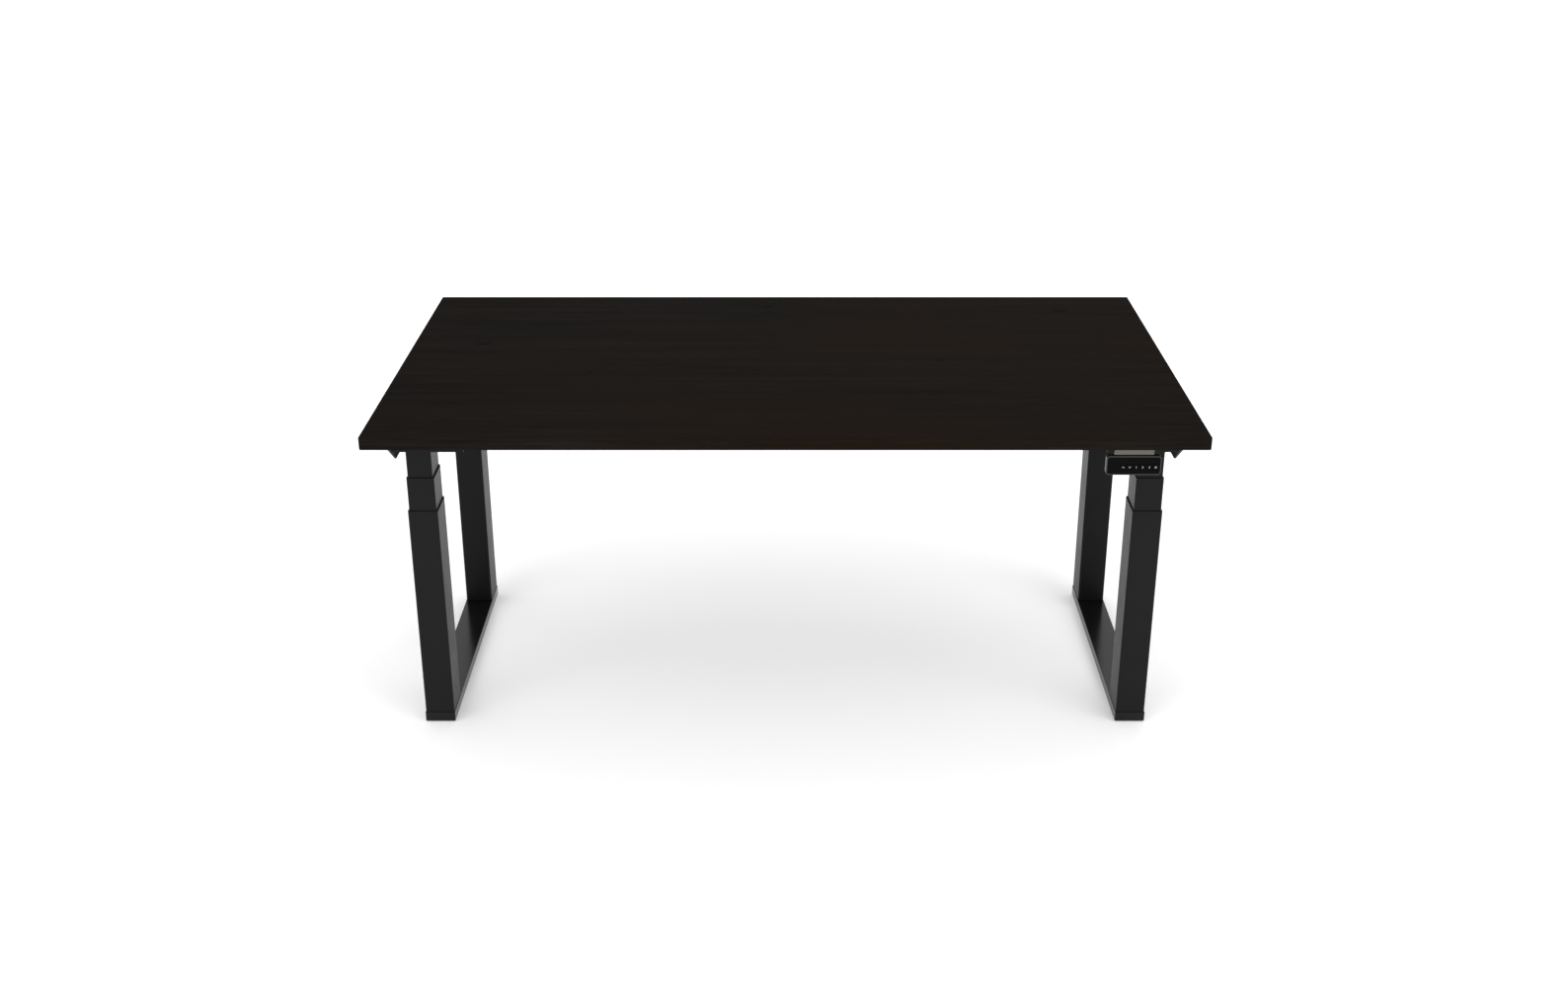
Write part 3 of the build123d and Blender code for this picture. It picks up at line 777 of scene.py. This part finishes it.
def bake(name, tree, places, values, body):
    """Run a geometry tree on a set of places and keep the result as one plain mesh on a body."""
    points = bpy.data.meshes.new(name)
    points.from_pydata(places, [], [])
    piece = bpy.data.objects.new(name, points)
    bpy.context.scene.collection.objects.link(piece)
    modifier = piece.modifiers.new("Repeat", "NODES")
    modifier.node_group = tree
    for socket in tree.interface.items_tree:
        if socket.in_out == "INPUT" and socket.name in values:
            modifier[socket.identifier] = values[socket.name]
    evaluated = piece.evaluated_get(bpy.context.evaluated_depsgraph_get())
    piece.data = bpy.data.meshes.new_from_object(evaluated)
    piece.modifiers.clear()
    piece.data.shade_smooth()
    piece.data.set_sharp_from_angle(angle=SMOOTH_ANGLE)
    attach(piece, body)
    return piece


def low_corner(points):
    """Give the low corner of the box round some points, rounded to a hundredth of a millimetre."""
    return [round(min(co[axis] for co in points), 5) for axis in range(3)]


def solids_of(node):
    """Give the corner points of each separate solid of a CAD node, ordered by place."""
    mesh = bmesh.new()
    mesh.from_mesh(frame["nodes"][node].data)
    bmesh.ops.remove_doubles(mesh, verts=mesh.verts, dist=CAD_MERGE)
    left = set(mesh.verts)
    solids = []
    while left:
        stack = [left.pop()]
        solid = []
        while stack:
            vert = stack.pop()
            solid.append(vert.co.copy())
            near = {edge.other_vert(vert) for edge in vert.link_edges} & left
            left -= near
            stack += near
        solids.append(solid)
    mesh.free()
    return sorted(solids, key=low_corner)


def fasteners(node):
    """Read the places and the sizes of a CAD node's like fasteners, which all point up."""
    places = []
    for solid in solids_of(node):
        low = min(co.z for co in solid)
        high = max(co.z for co in solid)
        x = (min(co.x for co in solid) + max(co.x for co in solid)) / 2
        y = (min(co.y for co in solid) + max(co.y for co in solid)) / 2
        radius = {co.z: 0 for co in solid}
        for co in solid:
            radius[co.z] = max(radius[co.z], math.hypot(co.x - x, co.y - y))
        head_radius = max(radius.values())
        # The head ends at the highest ring that is about as wide as the head
        seat = max(z for z in radius if radius[z] > 0.99 * head_radius)
        places.append((x, y, low))
    # The fasteners of a node are alike, so the last one's sizes hold for all of them
    sizes = {
        "Head Radius": head_radius,
        "Head Height": seat - low,
        "Shank Radius": radius[high],
        "Shank Length": high - seat,
    }
    return places, sizes


def bake_fasteners(node, tree, chamfer, recess, finish):
    """Replace a CAD node of like fasteners by ones with chamfers and recesses."""
    places, sizes = fasteners(node)
    values = {
        **sizes,
        "Brim Radius": sizes["Head Radius"] - chamfer,
        "Brim Height": chamfer,
        "Barrel Height": sizes["Head Height"] - chamfer,
        **recess,
        "Seed": bpy.context.scene.desk_sizes.seed,
        "Finish": finish,
    }
    bodies = frame["record"]["behaviour"]["bodies"]
    body = next(name for name, nodes in bodies.items() if node in nodes)
    piece = bake(f"{node}_made", tree, places, values, body)
    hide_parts(node)


class DESK_OT_table_top(bpy.types.Operator):
    """Finish the table top"""

    bl_idname = "desk.table_top"
    bl_label = "Table top"

    def execute(self, context):
        paint(stained_oak_laminate(context.scene.desk_colours), "table_top")
        return {"FINISHED"}


class DESK_OT_legs_and_frame(bpy.types.Operator):
    """Coat the columns, the floor bars and the frame, and weld the head plates to the inner tubes"""

    bl_idname = "desk.legs_and_frame"
    bl_label = "Legs and frame"

    def execute(self, context):
        sizes = context.scene.desk_sizes
        colours = context.scene.desk_colours
        coat = powder_coat("satin_powder_coat", colours, roughness=0.41, specular=0.155)
        sleek = powder_coat("smooth_powder_coat", colours, roughness=0.18, specular=0.22)
        for stage in ("outer_tube", "middle_tube", "inner_tube"):
            paint(coat, *per_column(stage))
        paint(sleek, "floor_bar_left", "floor_bar_right")
        paint(coat, "side_plate_left", "side_plate_right", "crossbeam_front", "crossbeam_rear")
        paint(coat, "control_plate")
        starts = []
        for place in PLACES:
            low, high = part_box(f"inner_tube_{place}")
            around_low, around_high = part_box(f"middle_tube_{place}")
            around = around_high - around_low
            middle = (low + high) / 2
            # The tube is narrower than the stage around it by the same amount both ways
            tube_width = high.x - low.x
            tube_depth = tube_width + around.y - around.x
            # A bead stops short of the tube's rounded corners, and the four tubes are alike
            bead = tube_width - 4 * sizes.weld_radius
            seat = self.plate_underside(place, high.z)
            for side in (-1, 1):
                starts.append((middle.x - bead / 2, middle.y + side * tube_depth / 2, seat))
        values = {
            "Length": bead,
            "Radius": sizes.weld_radius,
            "Ring Step": sizes.weld_ripple / 4,
            "Finish": coat,
        }
        bake("head_welds", weld_tree(), starts, values, "top")
        return {"FINISHED"}

    def plate_underside(self, place, top):
        """Give the height of the underside of a head plate, below its upper face at the top."""
        points = [v.co for v in frame["nodes"][f"inner_tube_{place}"].data.vertices]
        return max(co.z for co in points if co.z < top - FACE_GAP)


class DESK_OT_glides_and_feet(bpy.types.Operator):
    """Finish the collars, glides and shoes of the columns, and the levelling feet"""

    bl_idname = "desk.glides_and_feet"
    bl_label = "Glides and feet"

    def execute(self, context):
        colours = context.scene.desk_colours
        glide = moulded_plastic(
            "glide_nylon", colours.glide, roughness=0.6, specular=0.12, grit=0.8
        )
        rubber = moulded_plastic(
            "foot_rubber", colours.rubber, roughness=0.8, specular=0.2, grit=1.2
        )
        paint(glide, "outer_collars", "inner_shoes", *per_column("middle_glides"))
        paint(rubber, "levelling_feet")
        return {"FINISHED"}


class DESK_OT_lift_drives(bpy.types.Operator):
    """Finish the screws, tubes, nuts and motors inside the columns"""

    bl_idname = "desk.lift_drives"
    bl_label = "Lift drives"

    def execute(self, context):
        colours = context.scene.desk_colours
        steel = drawn_metal("drawn_steel", colours.steel, roughness=0.34, stretch=(1, 1, 1 / 40))
        thread = rolled_thread(colours, context.scene.desk_sizes.thread_pitch)
        acetal = moulded_plastic(
            "natural_acetal", colours.acetal, roughness=0.4, specular=0.5, grit=1.5
        )
        paint(steel, "motors", *per_column("lift_tube"), *per_column("drive_tube"))
        paint(thread, "base_screws", *per_column("lift_screw"))
        paint(acetal, *per_column("lift_nut"))
        return {"FINISHED"}


class DESK_OT_fasteners(bpy.types.Operator):
    """Make the bolts of the frame and the columns, and the screws into the table top"""

    bl_idname = "desk.fasteners"
    bl_label = "Bolts and screws"

    def execute(self, context):
        sizes = context.scene.desk_sizes
        colours = context.scene.desk_colours
        finish = drawn_metal(
            "black_oxide_steel", colours.fastener, roughness=0.4, stretch=(1, 1, 1)
        )
        # A tool centred on the face of a head cuts half of its height into it
        bolts = hex_bolt_tree()
        for node, socket in (("frame_bolts", sizes.frame_socket), ("base_bolts", sizes.base_socket)):
            recess = {"Socket Radius": socket / math.sqrt(3), "Tool Height": 2 * sizes.socket_depth}
            bake_fasteners(node, bolts, sizes.bolt_chamfer, recess, finish)
        recess = {
            "Cross": sizes.cross_span,
            "Slot": sizes.cross_slot,
            "Tool Height": 2 * sizes.cross_depth,
        }
        bake_fasteners("top_screws", cross_screw_tree(), sizes.screw_chamfer, recess, finish)
        return {"FINISHED"}


class DESK_OT_control_box(bpy.types.Operator):
    """Finish the control box and set the contacts into its sockets"""

    bl_idname = "desk.control_box"
    bl_label = "Control box"

    def execute(self, context):
        colours = context.scene.desk_colours
        sizes = context.scene.desk_sizes
        abs_case = moulded_plastic(
            "textured_abs", colours.box, roughness=0.55, specular=0.3, grit=0.9
        )
        paint(abs_case, "control_box")
        plating = drawn_metal(
            "plated_brass", colours.contact, roughness=0.3, stretch=(1, 1 / 20, 1)
        )
        # Six pins in two rows, eight wires in a row, and three blades with the middle one higher
        pins = [(x, z) for x in (-1, 0, 1) for z in (-0.5, 0.5)]
        wires = [place - 3.5 for place in range(8)]
        blades = [(-1, 0), (0, 1), (1, 0)]
        offsets = {
            "motor_socket": [(x * sizes.contact_pitch, z * sizes.contact_pitch) for x, z in pins],
            "handset_socket": [(x * sizes.wire_pitch, 0) for x in wires],
            "mains_inlet": [(x * sizes.blade_pitch, z * sizes.blade_step) for x, z in blades],
        }
        places = {kind: [] for kind in offsets}
        for opening in frame["record"]["physics"]["openings"]:
            kind = next((kind for kind in places if opening["name"].startswith(kind)), None)
            if kind is None:
                continue
            low, high = (Vector(corner) for corner in opening["box_m"])
            middle = (low + high) / 2
            # The contacts start a little inside the socket's floor
            root = low.y - sizes.contact_root
            places[kind] += [(middle.x + x, root, middle.z + z) for x, z in offsets[kind]]
        sections = {
            "motor_socket": (sizes.contact_width, sizes.contact_width),
            "handset_socket": (sizes.wire_width, sizes.wire_width),
            "mains_inlet": (sizes.blade_width, sizes.blade_height),
        }
        tree = contact_tree()
        for kind, points in places.items():
            width, height = sections[kind]
            values = {
                "Width": width,
                "Height": height,
                "Stem Length": sizes.contact_stem,
                "Tip Length": sizes.contact_tip,
                "Finish": plating,
            }
            bake(f"{kind}_contacts", tree, points, values, "top")
        return {"FINISHED"}


class DESK_OT_handset(bpy.types.Operator):
    """Finish the handset: bracket, case, face, keys and board"""

    bl_idname = "desk.handset"
    bl_label = "Handset"

    def execute(self, context):
        colours = context.scene.desk_colours
        aluminium = drawn_metal(
            "brushed_aluminium", colours.bracket, roughness=0.42, stretch=(1 / 40, 1, 1)
        )
        satin = moulded_plastic("satin_abs", colours.case, roughness=0.42, specular=0.4, grit=0.6)
        acrylic = glossy_acrylic(colours)
        paint(aluminium, "handset_bracket")
        paint(satin, "handset_case")
        paint(acrylic, "handset_face", *[f"key_{key}" for key in KEYS])
        paint(solder_mask(colours), "handset_board")
        return {"FINISHED"}


class DESK_OT_key_signs(bpy.types.Operator):
    """Print the signs on the keys: arrows up and down, three plain numbers and a square to store"""

    bl_idname = "desk.key_signs"
    bl_label = "Key signs"

    def execute(self, context):
        sizes = context.scene.desk_sizes
        ink = screen_print(context.scene.desk_colours)
        for key in KEYS:
            if key in DIGITS:
                curve = self.digit(DIGITS[key], sizes)
            else:
                curve = self.drawn(key, sizes)
            curve.extrude = sizes.sign_print / 2
            self.print_sign(key, curve, ink, sizes)
        return {"FINISHED"}

    def digit(self, text, sizes):
        """Give a digit as a curve of the wanted height."""
        curve = bpy.data.curves.new("digit", "FONT")
        curve.body = text
        curve.size = sizes.sign_height / DIGIT_SHARE
        return curve

    def drawn(self, key, sizes):
        """Give an arrow head or a hollow square as a flat curve."""
        reach = sizes.sign_height / 2
        stroke = sizes.sign_stroke
        if key == "store":
            # A square with four fifths of a digit's height and stroke looks as large as the digit
            outer = 0.8 * reach
            inner = outer - 0.8 * stroke
            loops = [[(-r, -r), (r, -r), (r, r), (-r, r)] for r in (outer, inner)]
        else:
            # An arrow head is flat, and its sloping arms are thicker upright than across
            rise = 0.6 * reach if key == "up" else -0.6 * reach
            half = 1.25 * stroke / 2
            arms = [(-reach, -rise), (0, rise), (reach, -rise)]
            upper = [(x, y + half) for x, y in arms]
            lower = [(x, y - half) for x, y in reversed(arms)]
            loops = [upper + lower]
        curve = bpy.data.curves.new("sign", "CURVE")
        curve.dimensions = "2D"
        curve.fill_mode = "BOTH"
        for loop in loops:
            spline = curve.splines.new("POLY")
            spline.points.add(len(loop) - 1)
            for point, (x, y) in zip(spline.points, loop):
                point.co = (x, y, 0, 1)
            spline.use_cyclic_u = True
        return curve

    def print_sign(self, key, curve, ink, sizes):
        """Turn a flat curve into a mesh on the front of its key."""
        drawing = bpy.data.objects.new("drawing", curve)
        mesh = bpy.data.meshes.new_from_object(drawing)
        bpy.data.objects.remove(drawing)
        points = [v.co for v in mesh.vertices]
        middle = [(min(p[i] for p in points) + max(p[i] for p in points)) / 2 for i in range(3)]
        low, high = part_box(f"key_{key}")
        front = Vector(((low.x + high.x) / 2, low.y - sizes.sign_print / 4, (low.z + high.z) / 2))
        upright = Euler((math.pi / 2, 0, 0)).to_matrix().to_4x4()
        mesh.transform(Matrix.Translation(front) @ upright @ Matrix.Translation(-Vector(middle)))
        solid = bmesh.new()
        solid.from_mesh(mesh)
        bmesh.ops.remove_doubles(solid, verts=solid.verts, dist=PRINT_MERGE)
        bmesh.ops.recalc_face_normals(solid, faces=solid.faces)
        solid.to_mesh(mesh)
        solid.free()
        mesh.materials.clear()
        mesh.materials.append(ink)
        piece = bpy.data.objects.new(f"sign_{key}", mesh)
        bpy.context.scene.collection.objects.link(piece)
        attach(piece, f"key_{key}")


class DESK_OT_stage(bpy.types.Operator):
    """Set the studio: pale floor, soft light all round, three soft boxes and the camera"""

    bl_idname = "desk.stage"
    bl_label = "Stage"

    def execute(self, context):
        stage = context.scene.desk_stage
        self.lay_floor(stage, context.scene.desk_colours)
        self.light(stage)
        camera = bpy.data.cameras.new("camera")
        camera.lens = stage.lens
        camera.sensor_width = stage.sensor
        holder = bpy.data.objects.new("camera", camera)
        holder.location = stage.camera_place
        holder.rotation_euler = (math.pi / 2 - stage.camera_pitch, 0, 0)
        context.scene.collection.objects.link(holder)
        context.scene.camera = holder
        context.scene.view_settings.view_transform = "Standard"
        return {"FINISHED"}

    def lay_floor(self, stage, colours):
        """Lay a wide round floor under the feet."""
        mesh = bpy.data.meshes.new("floor")
        disc = bmesh.new()
        bmesh.ops.create_circle(disc, cap_ends=True, segments=FLOOR_SIDES, radius=stage.floor_radius)
        disc.to_mesh(mesh)
        disc.free()
        material, tree, place = start_material("matt_floor")
        pale = colours.floor
        cloud_width = 400
        cloud = add_node(
            tree,
            "ShaderNodeTexNoise",
            {"Vector": place, "Scale": per_metre(cloud_width), "Detail": 2},
        )
        shade = add_node(
            tree,
            "ShaderNodeMix",
            {"Factor_Float": cloud, "A_Color": tint(pale, 0.99), "B_Color": tint(pale)},
            data_type="RGBA",
        )
        glow = {"Emission Color": (1, 1, 1, 1), "Emission Strength": stage.floor_glow}
        end_material(tree, {"Base Color": shade, "Roughness": 0.9, "Specular IOR Level": 0.0, **glow})
        mesh.materials.append(material)
        floor = bpy.data.objects.new("floor", mesh)
        floor.location.z = cad_box[0].z
        bpy.context.scene.collection.objects.link(floor)

    def light(self, stage):
        """Light the desk evenly from all round, and a little more from three sides."""
        world = bpy.data.worlds.new("studio")
        world.use_nodes = True
        background = world.node_tree.nodes["Background"]
        background.inputs["Color"].default_value = (1, 1, 1, 1)
        background.inputs["Strength"].default_value = stage.world_strength
        bpy.context.scene.world = world
        middle = (cad_box[0] + cad_box[1]) / 2
        for name, place in SOFT_BOXES.items():
            lamp = bpy.data.lights.new(name, "AREA")
            lamp.energy = stage.lamp_power
            lamp.size = stage.lamp_size
            holder = bpy.data.objects.new(name, lamp)
            holder.location = place
            holder.rotation_euler = (middle - Vector(place)).to_track_quat("-Z", "Y").to_euler()
            bpy.context.scene.collection.objects.link(holder)


class DESK_PT_sidebar(bpy.types.Panel):
    """Steps, sizes and colours of the desk"""

    bl_label = "Desk"
    bl_idname = "DESK_PT_sidebar"
    bl_space_type = "VIEW_3D"
    bl_region_type = "UI"
    bl_category = "Desk"

    def draw(self, context):
        for step in STEPS:
            self.layout.operator(step.bl_idname)
        for group in (context.scene.desk_sizes, context.scene.desk_colours, context.scene.desk_stage):
            for name in group.__annotations__:
                self.layout.prop(group, name)


GROUPS = {"desk_sizes": DeskSizes, "desk_colours": DeskColours, "desk_stage": DeskStage}
STEPS = (
    DESK_OT_table_top,
    DESK_OT_legs_and_frame,
    DESK_OT_glides_and_feet,
    DESK_OT_lift_drives,
    DESK_OT_fasteners,
    DESK_OT_control_box,
    DESK_OT_handset,
    DESK_OT_key_signs,
    DESK_OT_stage,
)


def register():
    """Register the classes and give the scene its groups of properties."""
    for kind in (*GROUPS.values(), *STEPS, DESK_PT_sidebar):
        bpy.utils.register_class(kind)
    for name, kind in GROUPS.items():
        setattr(bpy.types.Scene, name, PointerProperty(type=kind))


def unregister():
    """Take the groups of properties off the scene and unregister the classes."""
    for name in GROUPS:
        delattr(bpy.types.Scene, name)
    for kind in reversed((*GROUPS.values(), *STEPS, DESK_PT_sidebar)):
        bpy.utils.unregister_class(kind)


def main():
    """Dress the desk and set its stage."""
    register()
    bpy.ops.desk.table_top()
    bpy.ops.desk.legs_and_frame()
    bpy.ops.desk.glides_and_feet()
    bpy.ops.desk.lift_drives()
    bpy.ops.desk.fasteners()
    bpy.ops.desk.control_box()
    bpy.ops.desk.handset()
    bpy.ops.desk.key_signs()
    bpy.ops.desk.stage()


if __name__ == "__main__":
    main()
